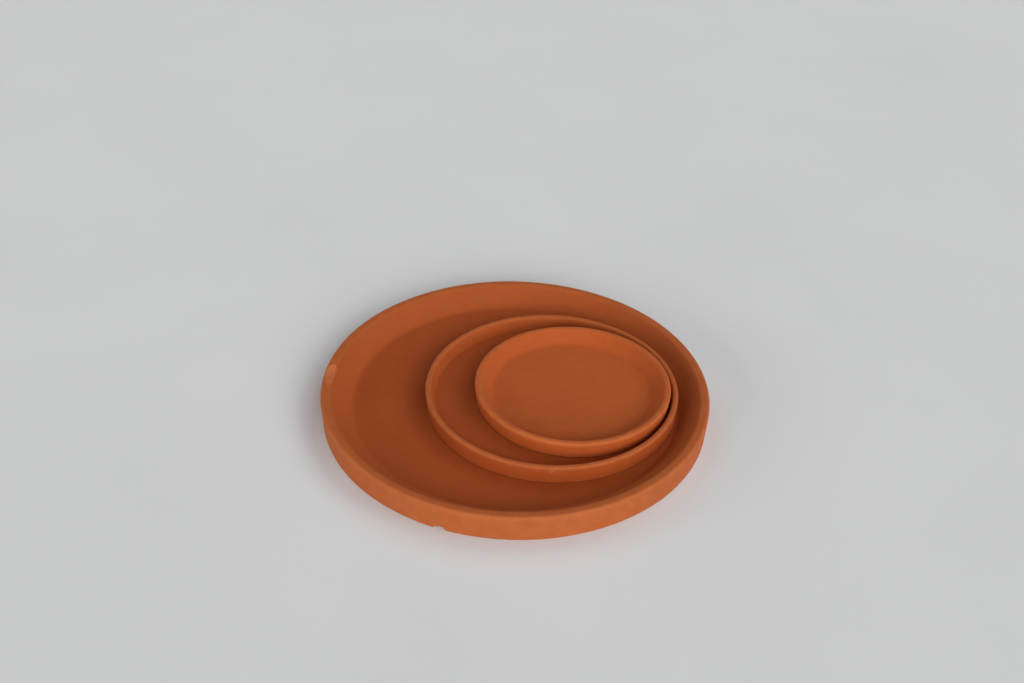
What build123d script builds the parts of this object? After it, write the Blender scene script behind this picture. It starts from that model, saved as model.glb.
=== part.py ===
from build123d import *
from dataclasses import dataclass
from math import atan2, tan
import os

# A nested set of three unglazed clay plant saucers, in millimetres, with +Z up.
# The origin is on the axis of the large saucer, on the surface that it stands on.
# Each saucer is one fired piece: a steep outer wall, a level rim, an inner wall that leans in
# to a coved floor, and a foot ring round a shallow recess underneath.
# The medium saucer stands on the floor of the large one, and the small saucer on the floor of
# the medium one. Each is pushed along +X until its foot comes up to the cove.

# Small saucer
small_diameter = 152.0
small_height = 13.9
small_outer_wall_draft = 1.2
small_rim_width = 4.8
small_rim_outer_round = 1.2
small_rim_inner_round = 1.5
small_inner_wall_run = 9.6
small_floor_thickness = 4.4
small_cove_radius = 5.0
small_base_round = 2.2
small_foot_width = 9.0
small_recess_depth = 0.9

# Medium saucer, wider than the small one by its nesting room on every side
medium_nesting_room = 22.0
medium_height = 15.0
medium_outer_wall_draft = 0.8
medium_rim_width = 4.6
medium_rim_outer_round = 1.3
medium_rim_inner_round = 1.2
medium_inner_wall_run = 1.7
medium_floor_thickness = 5.25
medium_cove_radius = 2.4
medium_base_round = 2.0
medium_foot_width = 11.0
medium_recess_depth = 1.1

# Large saucer, wider than the medium one by its nesting room on every side
large_nesting_room = 52.0
large_height = 21.4
large_outer_wall_draft = 1.0
large_rim_width = 7.1
large_rim_outer_round = 1.8
large_rim_inner_round = 2.0
large_inner_wall_run = 16.4
large_floor_thickness = 6.75
large_cove_radius = 6.0
large_base_round = 1.0
large_foot_width = 15.0
large_recess_depth = 1.4

# Gap left between the level part of a foot and the start of the cove that it is pushed up to
foot_to_cove_gap = 0.9


@dataclass
class Saucer:
    """Sizes of one saucer, with the radii that follow from them."""

    diameter: float
    height: float
    outer_wall_draft: float
    rim_width: float
    rim_outer_round: float
    rim_inner_round: float
    inner_wall_run: float
    floor_thickness: float
    cove_radius: float
    base_round: float
    foot_width: float
    recess_depth: float

    def __post_init__(self):
        self.rim_radius = self.diameter / 2
        self.lip_radius = self.rim_radius - self.rim_width
        self.corner_radius = self.lip_radius - self.inner_wall_run
        self.base_radius = self.rim_radius - self.outer_wall_draft
        self.foot_radius = self.base_radius - self.base_round
        self.recess_radius = self.foot_radius - self.foot_width
        wall_angle = atan2(self.height - self.floor_thickness, self.inner_wall_run)
        self.floor_radius = self.corner_radius - self.cove_radius * tan(wall_angle / 2)


def build_saucer(label, sizes, offset, stand_height):
    """Turn one saucer's section about its own upright axis and write it out."""
    section_plane = Plane(origin=(offset, 0, stand_height), x_dir=(1, 0, 0), z_dir=(0, -1, 0))
    with BuildPart() as saucer:
        with BuildSketch(section_plane) as section:
            with BuildLine():
                Polyline(
                    (0, sizes.recess_depth),
                    (sizes.recess_radius - sizes.recess_depth, sizes.recess_depth),
                    (sizes.recess_radius, 0),
                    (sizes.base_radius, 0),
                    (sizes.rim_radius, sizes.height),
                    (sizes.lip_radius, sizes.height),
                    (sizes.corner_radius, sizes.floor_thickness),
                    (0, sizes.floor_thickness),
                    close=True,
                )
            make_face()
            floor_corner = section.vertices().group_by(Axis.Y)[-2].sort_by(Axis.X)[-1]
            fillet(floor_corner, sizes.cove_radius)
            lip_corner = section.vertices().group_by(Axis.Y)[-1].sort_by(Axis.X)[0]
            fillet(lip_corner, sizes.rim_inner_round)
            rim_corner = section.vertices().group_by(Axis.Y)[-1].sort_by(Axis.X)[-1]
            fillet(rim_corner, sizes.rim_outer_round)
            base_corner = section.vertices().group_by(Axis.Y)[0].sort_by(Axis.X)[-1]
            fillet(base_corner, sizes.base_round)
        revolve(axis=Axis((offset, 0, 0), (0, 0, 1)))
    saucer.part.label = label
    export_step(saucer.part, f"parts/{label}.step")


small_sizes = Saucer(
    diameter=small_diameter,
    height=small_height,
    outer_wall_draft=small_outer_wall_draft,
    rim_width=small_rim_width,
    rim_outer_round=small_rim_outer_round,
    rim_inner_round=small_rim_inner_round,
    inner_wall_run=small_inner_wall_run,
    floor_thickness=small_floor_thickness,
    cove_radius=small_cove_radius,
    base_round=small_base_round,
    foot_width=small_foot_width,
    recess_depth=small_recess_depth,
)
medium_sizes = Saucer(
    diameter=small_diameter + 2 * medium_nesting_room,
    height=medium_height,
    outer_wall_draft=medium_outer_wall_draft,
    rim_width=medium_rim_width,
    rim_outer_round=medium_rim_outer_round,
    rim_inner_round=medium_rim_inner_round,
    inner_wall_run=medium_inner_wall_run,
    floor_thickness=medium_floor_thickness,
    cove_radius=medium_cove_radius,
    base_round=medium_base_round,
    foot_width=medium_foot_width,
    recess_depth=medium_recess_depth,
)
large_sizes = Saucer(
    diameter=medium_sizes.diameter + 2 * large_nesting_room,
    height=large_height,
    outer_wall_draft=large_outer_wall_draft,
    rim_width=large_rim_width,
    rim_outer_round=large_rim_outer_round,
    rim_inner_round=large_rim_inner_round,
    inner_wall_run=large_inner_wall_run,
    floor_thickness=large_floor_thickness,
    cove_radius=large_cove_radius,
    base_round=large_base_round,
    foot_width=large_foot_width,
    recess_depth=large_recess_depth,
)

# Each saucer stands on the floor below it, with its foot pushed up to the cove at +X
medium_offset = large_sizes.floor_radius - foot_to_cove_gap - medium_sizes.foot_radius
small_offset = medium_offset + medium_sizes.floor_radius - foot_to_cove_gap - small_sizes.foot_radius
medium_stand_height = large_sizes.floor_thickness
small_stand_height = medium_stand_height + medium_sizes.floor_thickness

os.makedirs("parts", exist_ok=True)
build_saucer("large_saucer", large_sizes, 0, 0)
build_saucer("medium_saucer", medium_sizes, medium_offset, medium_stand_height)
build_saucer("small_saucer", small_sizes, small_offset, small_stand_height)
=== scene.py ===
from dataclasses import dataclass
from math import acos, atan2, ceil, cos, degrees, hypot, pi, radians, sin, tan

import bpy
import numpy as np
from mathutils import Matrix, Vector, noise


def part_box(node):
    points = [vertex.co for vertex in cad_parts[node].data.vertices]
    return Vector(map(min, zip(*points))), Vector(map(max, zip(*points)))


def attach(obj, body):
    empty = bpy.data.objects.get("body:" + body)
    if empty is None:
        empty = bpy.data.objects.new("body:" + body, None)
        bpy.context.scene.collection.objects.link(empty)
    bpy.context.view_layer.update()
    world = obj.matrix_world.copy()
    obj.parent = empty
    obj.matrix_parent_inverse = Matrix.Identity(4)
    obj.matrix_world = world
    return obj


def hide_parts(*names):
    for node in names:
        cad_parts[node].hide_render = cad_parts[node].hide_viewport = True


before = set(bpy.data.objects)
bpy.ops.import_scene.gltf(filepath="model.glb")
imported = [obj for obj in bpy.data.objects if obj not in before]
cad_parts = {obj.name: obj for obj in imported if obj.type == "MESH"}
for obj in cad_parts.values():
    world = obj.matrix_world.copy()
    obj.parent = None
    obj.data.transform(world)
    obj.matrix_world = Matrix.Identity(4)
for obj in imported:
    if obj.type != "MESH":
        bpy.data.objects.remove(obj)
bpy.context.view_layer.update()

# Looks of a nested set of three unglazed clay plant saucers, in metres, with +Z up.
# Each saucer is turned as a fine mesh on its own axis, with the sizes of its solid, except that
# its rim is worn to softer rounds. Then it gets what fired clay has: a slightly uneven form,
# chipped edges, grain and pores.


@dataclass
class Mark:
    """A chip or nick. It is cut at a point of the surface, along a direction given by its tilt:
    0 degrees faces out from the axis, 90 degrees up, 180 degrees in towards the axis."""

    angle: float
    radius: float
    height: float
    tilt: float
    half_length: float
    half_width: float
    depth: float
    skew: float = 0.0
    freshness: float = 1.0


@dataclass
class Saucer:
    """Sizes of one saucer that its box doesn't give, and what sets it apart from the others."""

    node: str
    body: str
    outer_wall_draft: float
    rim_width: float
    rim_outer_round: float
    rim_inner_round: float
    inner_wall_run: float
    floor_thickness: float
    cove_radius: float
    base_round: float
    foot_width: float
    recess_depth: float
    shade: float
    # Dust on the outer wall, partly painted sheen: it makes brightly lit faces look paler
    wall_dust_and_sheen: float
    rim_dust: float
    floor_dust: float
    seed: int
    nick_count: int

    def __post_init__(self):
        low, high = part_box(self.node)
        self.centre = Vector(((low.x + high.x) / 2, (low.y + high.y) / 2, low.z))
        self.height = high.z - low.z
        lean = hypot(self.height, self.outer_wall_draft) / self.height
        rim_round_inset = self.rim_outer_round * (self.outer_wall_draft / self.height + lean - 1)
        self.rim_radius = (high.x - low.x) / 2 + rim_round_inset
        self.lip_radius = self.rim_radius - self.rim_width
        self.corner_radius = self.lip_radius - self.inner_wall_run
        self.base_radius = self.rim_radius - self.outer_wall_draft
        self.recess_radius = self.base_radius - self.base_round - self.foot_width


# The three saucers
large = Saucer(
    node="large_saucer",
    body="large",
    outer_wall_draft=0.0010,
    rim_width=0.0071,
    rim_outer_round=0.0024,
    rim_inner_round=0.0034,
    inner_wall_run=0.0164,
    floor_thickness=0.00675,
    cove_radius=0.0060,
    base_round=0.0010,
    foot_width=0.0150,
    recess_depth=0.0014,
    shade=0.985,
    # The large saucer's paler outer wall is partly dust and partly painted sheen
    wall_dust_and_sheen=0.60,
    rim_dust=1.0,
    floor_dust=0.0,
    seed=11,
    nick_count=16,
)
medium = Saucer(
    node="medium_saucer",
    body="medium",
    outer_wall_draft=0.0008,
    rim_width=0.0046,
    rim_outer_round=0.0017,
    rim_inner_round=0.0016,
    inner_wall_run=0.0017,
    floor_thickness=0.00525,
    cove_radius=0.0024,
    base_round=0.0020,
    foot_width=0.0110,
    recess_depth=0.0011,
    shade=1.01,
    wall_dust_and_sheen=0.0,
    rim_dust=1.0,
    floor_dust=0.0,
    seed=23,
    nick_count=10,
)
small = Saucer(
    node="small_saucer",
    body="small",
    outer_wall_draft=0.0012,
    rim_width=0.0048,
    rim_outer_round=0.0021,
    rim_inner_round=0.0021,
    inner_wall_run=0.0096,
    floor_thickness=0.0044,
    cove_radius=0.0050,
    base_round=0.0022,
    foot_width=0.0090,
    recess_depth=0.0009,
    shade=1.17,
    wall_dust_and_sheen=0.0,
    rim_dust=0.78,
    floor_dust=0.30,
    seed=37,
    nick_count=9,
)

# Chips that each saucer has, by angle about its own axis in degrees, from +X towards +Y
large_marks = [
    Mark(angle=175.4, radius=large.rim_radius, height=large.height, tilt=40,
         half_length=0.0135, half_width=0.0060, depth=0.0016, skew=0.45),
    Mark(angle=177.3, radius=large.lip_radius + large.rim_width / 3, height=large.height, tilt=103,
         half_length=0.0135, half_width=0.0062, depth=0.0015, skew=-0.3),
    Mark(angle=-110.2, radius=large.base_radius, height=0, tilt=-42,
         half_length=0.0058, half_width=0.0040, depth=0.0030, skew=0.55),
    Mark(angle=-30.0, radius=large.rim_radius - large.outer_wall_draft / 2, height=large.height / 2,
         tilt=0, half_length=0.0011, half_width=0.0009, depth=0.0003),
]
medium_marks = [
    Mark(angle=-90.5, radius=medium.rim_radius - medium.outer_wall_draft / 4,
         height=medium.height * 0.77, tilt=5,
         half_length=0.0032, half_width=0.0014, depth=0.0005, freshness=0.6),
]
small_marks = [
    Mark(angle=-60.5, radius=small.lip_radius, height=small.height, tilt=140,
         half_length=0.0040, half_width=0.0030, depth=0.0007, freshness=0.2),
    Mark(angle=-49.0, radius=small.lip_radius, height=small.height, tilt=140,
         half_length=0.0050, half_width=0.0030, depth=0.0008, skew=0.4, freshness=0.2),
]

# Small nicks along the rims, by least and most where there are two values
nick_half_lengths = (0.0006, 0.0017)
nick_depths = (0.00014, 0.00036)
nick_leans = (-18, 18)
nick_freshness = (0.1, 0.3)
nick_width = 0.0012
inner_nick_share = 0.35

# Shape of a broken face
bowl_power = 1.8
fracture_roughness_share = 0.28
fracture_scale = 620.0
fine_fracture_share = 0.5
fine_fracture_ratio = 2.3
fine_fracture_seed_shift = 5
fresh_depth = 0.00012
cut_reach = 1.6
cut_reach_depths = 3

# How finely a saucer's mesh is cut
coarse_step = 0.0020
fine_step = 0.00035
fine_reach = 1.3
step_growth = 0.18
wall_step = 0.0009
rim_step = 0.0006
foot_step = 0.0025
disc_step = 0.0045
arc_step = radians(11)
least_arc_steps = 3
edge_round = 0.0004
column_multiple = 16
turn_samples = 20001
smooth_angle = radians(38)
map_margin = 1.01

# How worn each edge and stretch of the section is, before a saucer's own dust
recess_edge_wear = 0.5
foot_wear = 0.4
base_edge_wear = 0.8
rim_edge_wear = 0.9
rim_wear = 0.45
lip_wear = 0.5
# The inner wall's wear is partly dust and partly painted sheen, the paler look of its lit faces
inner_wall_wear_and_sheen = 0.15
wear_reach = 0.0010

# How uneven the fired form is
rim_wobble = 0.00022
wobble_power = 4
rim_waviness = 0.00014
waviness_power = 3
lobe_counts = (2, 3, 4, 7)
unevenness = 0.00012
unevenness_scale = 45.0
ripple = 0.00004
ripple_scale = 160.0


@dataclass
class Corner:
    """A corner of a saucer's section, and how the stretch after it is worn and cut."""

    radius: float
    height: float
    rounding: float
    wear: float
    wear_after: float
    step: float


def section_line(saucer):
    """Corners of half a saucer's section, from the recess under it round to the floor's edge.
    Each has its round and wear, and the wear and step of the stretch that follows it."""
    s = saucer
    return [
        Corner(s.recess_radius - s.recess_depth, s.recess_depth, edge_round, 0.0, 0.0, edge_round),
        Corner(s.recess_radius, 0, edge_round, recess_edge_wear, foot_wear, foot_step),
        # The outer wall's dust is partly painted sheen, the paler look of brightly lit faces
        Corner(s.base_radius, 0, s.base_round, base_edge_wear, s.wall_dust_and_sheen, wall_step),
        Corner(s.rim_radius, s.height, s.rim_outer_round,
               rim_edge_wear * s.rim_dust, rim_wear * s.rim_dust, rim_step),
        # The inner wall's paler dust after the lip is partly painted sheen
        Corner(s.lip_radius, s.height, s.rim_inner_round,
               lip_wear * s.rim_dust, inner_wall_wear_and_sheen * s.rim_dust, wall_step),
        Corner(s.corner_radius, s.floor_thickness, s.cove_radius, 0.0, s.floor_dust, disc_step),
    ]


def length_along(places):
    """Distance from the first place to each place along a line."""
    return np.concatenate(((0,), np.cumsum(np.linalg.norm(np.diff(places, axis=0), axis=1))))


def soften(values, along, reach):
    """Evens out values along a line, over about the reach."""
    weights = np.exp(-0.5 * ((along[:, None] - along) / reach) ** 2) * np.gradient(along)
    return weights @ values / weights.sum(axis=1)


def rounded_section(saucer):
    """Rows of (radius, height, wear) along half a saucer's section, with its corners rounded."""
    corners = section_line(saucer)
    points = [np.array((0, corners[0].height))]
    points += [np.array((corner.radius, corner.height)) for corner in corners]
    points.append(np.array((0, corners[-1].height)))
    rows = []
    wear_before = 0.0
    for index, corner in enumerate(corners, start=1):
        here = points[index]
        before = (points[index - 1] - here) / np.linalg.norm(points[index - 1] - here)
        after = (points[index + 1] - here) / np.linalg.norm(points[index + 1] - here)
        turn = pi - acos(np.clip(before @ after, -1, 1))
        reach = corner.rounding * tan(turn / 2)
        inward = (before + after) / np.linalg.norm(before + after)
        centre = here + inward * corner.rounding / cos(turn / 2)
        start = here + before * reach - centre
        side = here + after * reach - centre
        count = max(ceil(turn / arc_step), least_arc_steps)
        for share in np.linspace(0, 1, count + 1):
            spoke = (sin((1 - share) * turn) * start + sin(share * turn) * side) / sin(turn)
            flat_wear = wear_before + (corner.wear_after - wear_before) * share
            wear = flat_wear + (corner.wear - flat_wear) * sin(pi * share)
            rows.append((*(centre + spoke), wear))
        wear_before = corner.wear_after
        if index < len(corners):
            next_rounding = corners[index].rounding
            onward = points[index + 2] - points[index + 1]
            onward = onward / np.linalg.norm(onward)
            next_turn = acos(np.clip(after @ onward, -1, 1))
            first = here + after * reach
            last = points[index + 1] - after * next_rounding * tan(next_turn / 2)
            stretch = ceil(np.linalg.norm(last - first) / corner.step)
            for share in np.arange(1, stretch) / stretch:
                rows.append((*(first + (last - first) * share), corner.wear_after))
    rows = np.array(rows)
    rows[:, 2] = soften(rows[:, 2], length_along(rows[:, :2]), wear_reach)
    return rows


def column_angles(saucer, marks):
    """Angles of a saucer's columns of faces, closer together at each mark."""
    turn = np.linspace(-pi, pi, turn_samples)
    step = np.full_like(turn, coarse_step)
    for mark in marks:
        away = np.abs((turn - radians(mark.angle) + pi) % (2 * pi) - pi) * saucer.rim_radius
        beyond = np.maximum(away - fine_reach * mark.half_length, 0)
        step = np.minimum(step, fine_step + step_growth * beyond)
    passed = np.cumsum((1 / step)[:-1] * np.diff(turn) * saucer.rim_radius)
    passed = np.concatenate(((0,), passed))
    count = column_multiple * ceil(passed[-1] / column_multiple)
    return np.interp(np.arange(count) / count * passed[-1], passed, turn)


class Turning:
    """Vertices and faces of a turned mesh, with what is known of each vertex."""

    def __init__(self):
        self.rows = []
        self.faces = []
        self.count = 0

    def ring(self, radius, height, angles, out, up, wear, along):
        """Adds a ring of vertices and gives their indices."""
        columns = [np.full(len(angles), value) for value in (radius, height, out, up, wear, along)]
        self.rows.append(np.column_stack([angles, *columns]))
        indices = np.arange(self.count, self.count + len(angles))
        self.count += len(angles)
        return indices

    def band(self, lower, upper):
        """Joins two rings with as many vertices."""
        lower_next = np.roll(lower, -1)
        upper_next = np.roll(upper, -1)
        self.faces += np.column_stack((lower, lower_next, upper_next, upper)).tolist()

    def thin_out(self, outer, inner, facing_up):
        """Joins a ring to one inside it that has half as many vertices."""
        first = outer[0::2]
        middle = outer[1::2]
        last = np.roll(first, -1)
        inner_next = np.roll(inner, -1)
        triangles = (
            (first, middle, inner),
            (middle, inner_next, inner),
            (middle, last, inner_next),
        )
        for triangle in triangles:
            ordered = triangle if facing_up else triangle[::-1]
            self.faces += np.column_stack(ordered).tolist()

    def disc(self, outer, angles, radius, height, wear, facing_up, along):
        """Closes a ring with a level disc, which has fewer columns towards its middle."""
        up = 1.0 if facing_up else -1.0
        radii = np.linspace(radius, 0, ceil(radius / disc_step) + 1)[1:-1]
        for inner_radius in radii:
            distance = along + (radius - inner_radius) * up
            crowded = 2 * pi * inner_radius / len(angles) < disc_step / 2
            halves = crowded and len(angles) % 2 == 0 and len(angles) > 2 * column_multiple
            kept = angles[::2] if halves else angles
            inner = self.ring(inner_radius, height, kept, 0.0, up, wear, distance)
            if halves:
                self.thin_out(outer, inner, facing_up)
            else:
                self.band(*((outer, inner) if facing_up else (inner, outer)))
            outer, angles = inner, kept
        centre = self.ring(0.0, height, np.zeros(1), 0.0, up, wear, along + radius * up)
        following = np.roll(outer, -1)
        hub = np.full(len(outer), centre[0])
        ordered = (outer, following, hub) if facing_up else (following, outer, hub)
        self.faces += np.column_stack(ordered).tolist()


def turn_saucer(saucer, angles):
    """Turns a saucer's section into a mesh that is still perfectly even. A row of the result has
    a vertex's angle, radius, height, direction out and up, wear, and distance along the section."""
    section = rounded_section(saucer)
    places = section[:, :2]
    travel = np.gradient(places, axis=0)
    travel /= np.linalg.norm(travel, axis=1)[:, None]
    along = places[0, 0] + length_along(places)
    turning = Turning()
    rings = []
    for (radius, height, wear), (run, rise), distance in zip(section, travel, along):
        rings.append(turning.ring(radius, height, angles, rise, -run, wear, distance))
    for lower, upper in zip(rings, rings[1:]):
        turning.band(lower, upper)
    turning.disc(rings[0], angles, *section[0], False, along[0])
    turning.disc(rings[-1], angles, *section[-1], True, along[-1])
    return np.concatenate(turning.rows), turning.faces


def noise_at(points, scale, seed):
    """Smooth noise from -1 to 1 at each point."""
    shift = Vector((seed, -seed, seed / 2))
    return np.array([noise.noise(Vector(point) * scale + shift) for point in points])


def make_uneven(saucer, rows):
    """Places of the vertices, with the slight unevenness of a fired form. Level seats only sink."""
    angle, radius, height, out, up = rows[:, :5].T
    rise_share = np.clip(height / saucer.height, 0, 1)
    random = np.random.default_rng(saucer.seed)
    wobble = np.zeros_like(angle)
    waviness = np.zeros_like(angle)
    for lobes in lobe_counts:
        phases = random.uniform(0, 2 * pi, 2)
        wobble += np.cos(lobes * angle + phases[0]) / lobes
        waviness += np.cos(lobes * angle + phases[1]) / lobes
    even = np.column_stack((radius * np.cos(angle), radius * np.sin(angle), height))
    sink = unevenness * (0.5 + 0.5 * noise_at(even, unevenness_scale, saucer.seed))
    sink += ripple * (0.5 + 0.5 * noise_at(even, ripple_scale, saucer.seed))
    reach = rise_share * (radius / saucer.rim_radius) ** wobble_power
    radius = radius + rim_wobble * wobble * reach - sink * out
    height = height + rim_waviness * waviness * rise_share**waviness_power - sink * up
    return np.column_stack((radius * np.cos(angle), radius * np.sin(angle), height))


def random_nicks(saucer):
    """Small nicks along the outer and inner edges of a saucer's rim. Each faces about half-way
    between the rim and the wall, and is sunk below the rounded edge by its own depth."""
    random = np.random.default_rng(saucer.seed + 1)
    inner_slope = atan2(saucer.height - saucer.floor_thickness, saucer.inner_wall_run)
    outer_slope = atan2(saucer.height, saucer.outer_wall_draft)
    nicks = []
    for _ in range(saucer.nick_count):
        inner = random.random() < inner_nick_share
        slope = inner_slope if inner else -outer_slope
        rounding = saucer.rim_inner_round if inner else saucer.rim_outer_round
        lean = random.uniform(*nick_leans)
        edge_inset = rounding * (cos(radians(lean)) / cos(slope / 2) - 1)
        nicks.append(Mark(
            angle=random.uniform(-180, 180),
            radius=saucer.lip_radius if inner else saucer.rim_radius,
            height=saucer.height,
            tilt=90 + degrees(slope) / 2 + lean,
            half_length=random.uniform(*nick_half_lengths),
            half_width=nick_width,
            depth=random.uniform(*nick_depths) + edge_inset,
            freshness=random.uniform(*nick_freshness),
        ))
    return nicks


def cut_mark(points, mark, seed):
    """Moves the points that lie outside a mark's broken face onto it.
    Gives how fresh each one is."""
    turn, tilt = radians(mark.angle), radians(mark.tilt)
    outward = np.array((cos(turn), sin(turn), 0))
    upward = np.array((0, 0, 1.0))
    sideways = np.array((-sin(turn), cos(turn), 0))
    facing = cos(tilt) * outward + sin(tilt) * upward
    across = np.cross(sideways, facing)
    offset = points - (mark.radius * outward + mark.height * upward)
    length_share = offset @ sideways / mark.half_length
    width_share = offset @ across / mark.half_width
    near = (np.abs(length_share) < cut_reach) & (np.abs(width_share) < cut_reach)
    near &= np.abs(offset @ facing) < cut_reach_depths * mark.depth + mark.half_width
    skewed = length_share - mark.skew
    skewed = np.where(skewed > 0, skewed / (1 - mark.skew), skewed / (1 + mark.skew))
    bowl = 1 - np.abs(skewed) ** bowl_power - width_share**2
    roughness = np.zeros(len(points))
    roughness[near] = noise_at(points[near], fracture_scale, seed)
    fine_scale = fine_fracture_ratio * fracture_scale
    fine_seed = seed + fine_fracture_seed_shift
    roughness[near] += fine_fracture_share * noise_at(points[near], fine_scale, fine_seed)
    broken_face = -mark.depth * (bowl + fracture_roughness_share * roughness)
    cut = np.where(near, offset @ facing - broken_face, 0)
    cut = np.maximum(cut, 0)
    points -= cut[:, None] * facing
    return mark.freshness * np.clip(cut / fresh_depth, 0, 1)


def lay_out_map(mesh, rows):
    """Gives a mesh a flat map: its upper side and walls as one disc, its underside as another.
    The discs lie in opposite corners of a square and touch on its diagonal."""
    angle, height, along = rows[:, 0], rows[:, 2], rows[:, 6]
    foot_edge = along[height == 0].max()
    upper_radius = along.max() - foot_edge
    side = (upper_radius + foot_edge) * (1 + 1 / 2**0.5) * map_margin
    direction = np.column_stack((np.cos(angle), np.sin(angle)))
    upper_place = upper_radius + direction * (along.max() - along)[:, None]
    lower_place = side - foot_edge + direction * along[:, None]
    corners = np.empty(len(mesh.loops), int)
    mesh.loops.foreach_get("vertex_index", corners)
    corner_counts = np.empty(len(mesh.polygons), int)
    mesh.polygons.foreach_get("loop_total", corner_counts)
    first_corners = np.cumsum(corner_counts) - corner_counts
    is_upper = np.minimum.reduceat(along[corners], first_corners) >= foot_edge
    is_upper = np.repeat(is_upper, corner_counts)[:, None]
    places = np.where(is_upper, upper_place[corners], lower_place[corners]) / side
    mesh.uv_layers.new(name="OFBake").uv.foreach_set("vector", places.astype(np.float32).ravel())


def make_saucer(saucer, marks):
    """Makes a saucer's mesh as a piece that stands for its solid and moves with its body."""
    marks = marks + random_nicks(saucer)
    rows, faces = turn_saucer(saucer, column_angles(saucer, marks))
    points = make_uneven(saucer, rows)
    freshness = np.zeros(len(points))
    for index, mark in enumerate(marks):
        freshness = np.maximum(freshness, cut_mark(points, mark, saucer.seed + index))
    mesh = bpy.data.meshes.new(saucer.node + "_clay")
    mesh.from_pydata(points.tolist(), [], faces)
    for name, values in (("wear", rows[:, 5]), ("along", rows[:, 6]), ("fresh", freshness)):
        attribute = mesh.attributes.new(name, "FLOAT", "POINT")
        attribute.data.foreach_set("value", values.astype(np.float32))
    mesh.polygons.foreach_set("use_smooth", np.ones(len(mesh.polygons), bool))
    mesh.set_sharp_from_angle(angle=smooth_angle)
    mesh.validate()
    lay_out_map(mesh, rows)
    piece = bpy.data.objects.new(saucer.node + "_clay", mesh)
    piece.location = saucer.centre
    bpy.context.scene.collection.objects.link(piece)
    mesh.materials.append(terracotta(saucer))
    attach(piece, saucer.body)
    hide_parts(saucer.node)


class Nodes:
    """A material's or world's nodes, added one at a time and linked to those before."""

    def __init__(self, owner):
        owner.use_nodes = True
        self.tree = owner.node_tree
        self.tree.nodes.clear()

    def add(self, kind, inputs, output=0, **settings):
        """Adds a node, sets or links its inputs by name or number, and gives one of its outputs."""
        node = self.tree.nodes.new("ShaderNode" + kind)
        for name, value in settings.items():
            setattr(node, name, value)
        for name, value in inputs.items():
            if isinstance(value, bpy.types.NodeSocket):
                self.tree.links.new(value, node.inputs[name])
            else:
                node.inputs[name].default_value = value
        return node.outputs[output] if len(node.outputs) else node

    def noise(self, place, scale, detail):
        return self.add("TexNoise", {"Vector": place, "Scale": scale, "Detail": detail})

    def cells(self, place, scale):
        """Distance from the middle of the nearest of many scattered cells."""
        return self.add("TexVoronoi", {"Vector": place, "Scale": scale}, output="Distance")

    def map_range(self, value, low, high, to_low=0.0, to_high=1.0):
        return self.add("MapRange", {
            "Value": value,
            "From Min": low,
            "From Max": high,
            "To Min": to_low,
            "To Max": to_high,
        })

    def math(self, operation, first, second):
        return self.add("Math", {0: first, 1: second}, operation=operation)

    def attribute(self, name):
        return self.add("Attribute", {}, output="Fac", attribute_name=name)

    def mix(self, factor, first, second, blend_type="MIX"):
        """Mixes two colours. Inputs 6 and 7 and output 2 are the colour ones of a Mix node."""
        inputs = {0: factor, 6: first, 7: second}
        return self.add("Mix", inputs, output=2, data_type="RGBA", blend_type=blend_type)

    def seen_rays(self):
        """1 for rays that show the backdrop: the camera's own, and those by way of gloss
        or glass."""
        rays = self.add("LightPath", {}).node.outputs
        direct = self.math("MAXIMUM", rays["Is Camera Ray"], rays["Is Glossy Ray"])
        return self.math("MAXIMUM", direct, rays["Is Transmission Ray"])

    def bump(self, height, distance, strength, below=None):
        inputs = {"Height": height, "Distance": distance, "Strength": strength}
        if below is not None:
            inputs["Normal"] = below
        return self.add("Bump", inputs)


# Colours of the clay, and of the studio
clay_dark = (0.294, 0.0567, 0.0110)
clay_light = (0.385, 0.0750, 0.0152)
clay_fresh = (0.530, 0.152, 0.0500)
# Dust on worn clay; on the walls it is also painted sheen, the paler look of lit faces
clay_dust_and_sheen = (0.535, 0.168, 0.0540)
pore_colour = (0.140, 0.028, 0.0060)
grog_colour = (0.500, 0.170, 0.0600)
floor_colour = (0.735, 0.74, 0.745, 1)
backdrop_colour = (0.58, 0.58, 0.58, 1)
ambient_colour = (1.0, 1.0, 1.0, 1)
ambient_strength = 0.03

# Patterns in the clay: their cells to the metre, their detail, and their share of its tone
cloud_scale, cloud_detail, cloud_share = 16.0, 3.0, 0.40
mottle_scale, mottle_detail, mottle_share = 130.0, 4.0, 0.30
grain_scale, grain_detail, grain_share = 1300.0, 2.0, 0.20
ring_scale, ring_detail, ring_share = 700.0, 2.0, 0.10
ring_drift = 0.004
tone_range = (0.25, 0.75)

# Pores and grog: their cells to the metre, where they fade in and how much they show
pore_scale, pore_fade, pore_strength = 420.0, (0.10, 0.04), 0.55
grog_scale, grog_fade, grog_strength = 340.0, (0.11, 0.05), 0.45

# How much worn and broken clay shows, where the dust on the walls is partly painted sheen, and what
# the mottle does to wear and to roughness
dust_and_sheen_strength = 0.70
fresh_strength = 0.85
mottle_to_wear = (0.35, 0.62, 0.70, 1.0)
mottle_to_roughness = (0.3, 0.7, 0.66, 0.80)

# Fine relief, by distance and strength
ring_relief = (0.00005, 0.5)
grain_relief = (0.00009, 0.5)
pore_relief = (-0.00020, 0.6)


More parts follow.
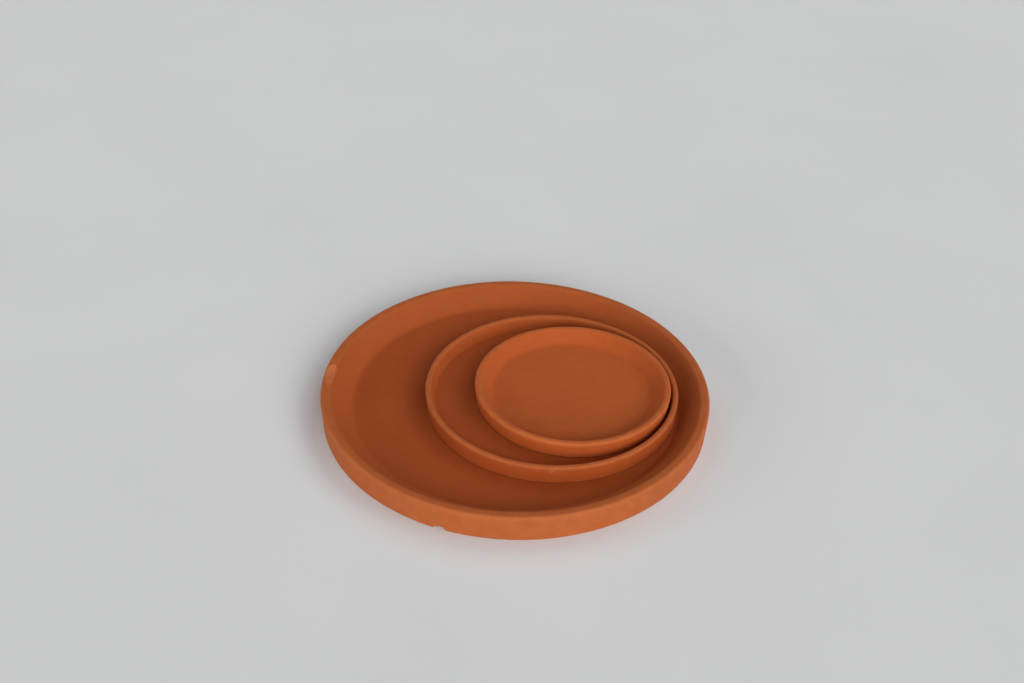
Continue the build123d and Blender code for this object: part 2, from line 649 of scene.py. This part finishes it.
def terracotta(saucer):
    """Matte fired clay: cloudy colour, fine grain, faint turning rings, pores and pale grog,
    paler where edges are worn and paler still where they are broken. The paler dust on
    its walls is partly painted sheen, the paler look of brightly lit faces."""
    material = bpy.data.materials.new("terracotta_" + saucer.body)
    nodes = Nodes(material)
    own_place = nodes.add("TexCoord", {}, output="Object")
    shift = (saucer.seed, -saucer.seed, saucer.seed)
    place = nodes.add("VectorMath", {0: own_place, 1: shift}, operation="ADD")

    def shaded(colour):
        return (*(saucer.shade * channel for channel in colour), 1)

    def part_of(value, share):
        return nodes.math("MULTIPLY", value, share)

    clouds = nodes.noise(place, cloud_scale, cloud_detail)
    mottle = nodes.noise(place, mottle_scale, mottle_detail)
    grain = nodes.noise(place, grain_scale, grain_detail)
    ring_place = nodes.math("ADD", nodes.attribute("along"), part_of(clouds, ring_drift))
    ring_inputs = {"W": ring_place, "Scale": ring_scale, "Detail": ring_detail}
    rings = nodes.add("TexNoise", ring_inputs, noise_dimensions="1D")

    tone = nodes.math("ADD", part_of(clouds, cloud_share), part_of(mottle, mottle_share))
    tone = nodes.math("ADD", tone, part_of(grain, grain_share))
    tone = nodes.math("ADD", tone, part_of(rings, ring_share))
    tone = nodes.map_range(tone, *tone_range)
    colour = nodes.mix(tone, shaded(clay_dark), shaded(clay_light))

    pores = nodes.map_range(nodes.cells(place, pore_scale), *pore_fade)
    colour = nodes.mix(part_of(pores, pore_strength), colour, shaded(pore_colour))
    grog = nodes.map_range(nodes.cells(own_place, grog_scale), *grog_fade)
    colour = nodes.mix(part_of(grog, grog_strength), colour, shaded(grog_colour))

    broken_wear = nodes.map_range(mottle, *mottle_to_wear)
    wear = nodes.math("MULTIPLY", nodes.attribute("wear"), broken_wear)
    # Paler dust on worn edges and walls; on the walls it is partly painted sheen, the paler look of
    # brightly lit faces
    colour = nodes.mix(part_of(wear, dust_and_sheen_strength), colour, shaded(clay_dust_and_sheen))
    fresh = nodes.attribute("fresh")
    colour = nodes.mix(part_of(fresh, fresh_strength), colour, shaded(clay_fresh))

    relief = nodes.bump(rings, *ring_relief)
    relief = nodes.bump(grain, *grain_relief, relief)
    relief = nodes.bump(pores, *pore_relief, relief)
    shader = nodes.add("BsdfPrincipled", {
        "Base Color": colour,
        "Roughness": nodes.map_range(mottle, *mottle_to_roughness),
        "Normal": relief,
        "Diffuse Roughness": 0.15,
        "Specular IOR Level": 0.12,
    })
    nodes.add("OutputMaterial", {"Surface": shader})
    return material


@dataclass
class Lamp:
    """A soft lamp, by its heading from +X towards +Y, its elevation and its spread in degrees.
    At strength 1 a matte face square to it shows about its own colour."""

    name: str
    heading: float
    elevation: float
    strength: float
    spread: float


# Studio
floor_half_width = 6.0
floor_cloud_scale, floor_cloud_detail = 5.0, 3.0
cloud_to_floor_shade = (0.3, 0.7, 0.985, 1.015)
fade_start = 1.6
fade_end = 3.2
lamps = [
    Lamp(name="key_low", heading=-54, elevation=19, strength=0.42, spread=30),
    Lamp(name="key_right", heading=-18, elevation=36, strength=0.21, spread=30),
    Lamp(name="front", heading=-80, elevation=28, strength=0.38, spread=30),
    Lamp(name="fill_low", heading=-130, elevation=8, strength=0.39, spread=30),
    Lamp(name="left", heading=-178, elevation=14, strength=0.17, spread=30),
    Lamp(name="back_right", heading=42, elevation=46, strength=0.19, spread=40),
    Lamp(name="back_left", heading=130, elevation=46, strength=0.11, spread=40),
]

# Camera
camera_place = Vector((-0.003557, -0.767627, 0.605933))
camera_pitch = radians(90 - 35.32)
camera_roll = radians(1.537)
photo_width = 1024
focal_length_in_pixels = 1243.9
sensor_width = 36.0


def studio_floor():
    """Matte pale floor. Far out it fades into the pale background, where that is seen."""
    material = bpy.data.materials.new("studio_floor")
    nodes = Nodes(material)
    place = nodes.add("NewGeometry", {}, output="Position")
    distance = nodes.add("VectorMath", {0: place}, output="Value", operation="LENGTH")
    fade = nodes.map_range(distance, fade_start, fade_end)
    fade = nodes.math("MULTIPLY", fade, nodes.seen_rays())
    clouds = nodes.noise(place, floor_cloud_scale, floor_cloud_detail)
    shade = nodes.map_range(clouds, *cloud_to_floor_shade)
    colour = nodes.mix(1.0, floor_colour, shade, blend_type="MULTIPLY")
    matte = nodes.add("BsdfPrincipled", {
        "Base Color": colour,
        "Roughness": 0.9,
        "Specular IOR Level": 0.1,
    })
    glow = nodes.add("Emission", {"Color": backdrop_colour, "Strength": 1.0})
    shader = nodes.add("MixShader", {0: fade, 1: matte, 2: glow})
    nodes.add("OutputMaterial", {"Surface": shader})
    half = floor_half_width
    corners = [(-half, -half, 0), (half, -half, 0), (half, half, 0), (-half, half, 0)]
    mesh = bpy.data.meshes.new("studio_floor")
    mesh.from_pydata(corners, [], [(0, 1, 2, 3)])
    mesh.materials.append(material)
    floor = bpy.data.objects.new("studio_floor", mesh)
    bpy.context.scene.collection.objects.link(floor)


def studio_light():
    """Soft lamps, and a little even light from all round."""
    world = bpy.data.worlds.new("studio")
    bpy.context.scene.world = world
    nodes = Nodes(world)
    ambient = nodes.add("Background", {"Color": ambient_colour, "Strength": ambient_strength})
    backdrop = nodes.add("Background", {"Color": backdrop_colour, "Strength": 1.0})
    shader = nodes.add("MixShader", {0: nodes.seen_rays(), 1: ambient, 2: backdrop})
    nodes.add("OutputWorld", {"Surface": shader})
    for lamp in lamps:
        light = bpy.data.lights.new(lamp.name, "SUN")
        light.energy = pi * lamp.strength
        light.angle = radians(lamp.spread)
        holder = bpy.data.objects.new(lamp.name, light)
        heading, elevation = radians(lamp.heading), radians(lamp.elevation)
        level = cos(elevation)
        source = Vector((level * cos(heading), level * sin(heading), sin(elevation)))
        holder.location = source
        holder.rotation_mode = "QUATERNION"
        holder.rotation_quaternion = source.to_track_quat("Z", "Y")
        bpy.context.scene.collection.objects.link(holder)


def photo_camera():
    """Camera at the photograph's view."""
    lens = bpy.data.cameras.new("camera")
    lens.sensor_width = sensor_width
    lens.lens = sensor_width * focal_length_in_pixels / photo_width
    camera = bpy.data.objects.new("camera", lens)
    turned = Matrix.Rotation(camera_pitch, 4, "X") @ Matrix.Rotation(camera_roll, 4, "Z")
    camera.matrix_world = Matrix.Translation(camera_place) @ turned
    bpy.context.scene.collection.objects.link(camera)
    bpy.context.scene.camera = camera


make_saucer(large, large_marks)
make_saucer(medium, medium_marks)
make_saucer(small, small_marks)
studio_floor()
studio_light()
photo_camera()
bpy.context.scene.view_settings.view_transform = "Standard"
